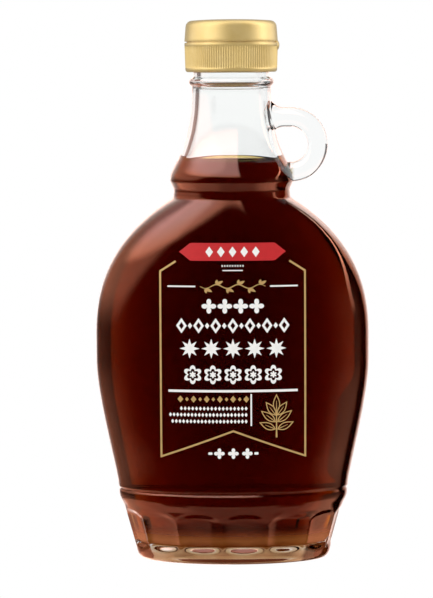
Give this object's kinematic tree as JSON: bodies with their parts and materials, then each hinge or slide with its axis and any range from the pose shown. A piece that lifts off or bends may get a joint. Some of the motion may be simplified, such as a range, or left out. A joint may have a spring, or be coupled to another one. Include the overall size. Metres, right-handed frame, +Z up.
{
  "type": "maple syrup bottle",
  "caption": "Flat oval glass flask of dark syrup with a finger ring at its neck, a fluted base and a shut gold cap with a ribbed skirt.",
  "frame": {"origin": "middle of the base, on the surface the bottle stands on", "axes": "+Z up along the neck, -Y out of the printed front, +X towards the finger ring, across the wide way of the flask"},
  "size_m": [0.0912, 0.0466, 0.18],
  "materials": {
    "glass": "clear polished flint glass",
    "syrup": "clear dark red-brown liquid",
    "cap_gold": "satin gold metallised plastic",
    "print_white": "white printed ink",
    "print_gold": "dull gold printed ink",
    "print_red": "red printed ink"
  },
  "bodies": {
    "root": {"bottle": "glass", "syrup": "syrup", "cap": "cap_gold"}
  },
  "joints": []
}
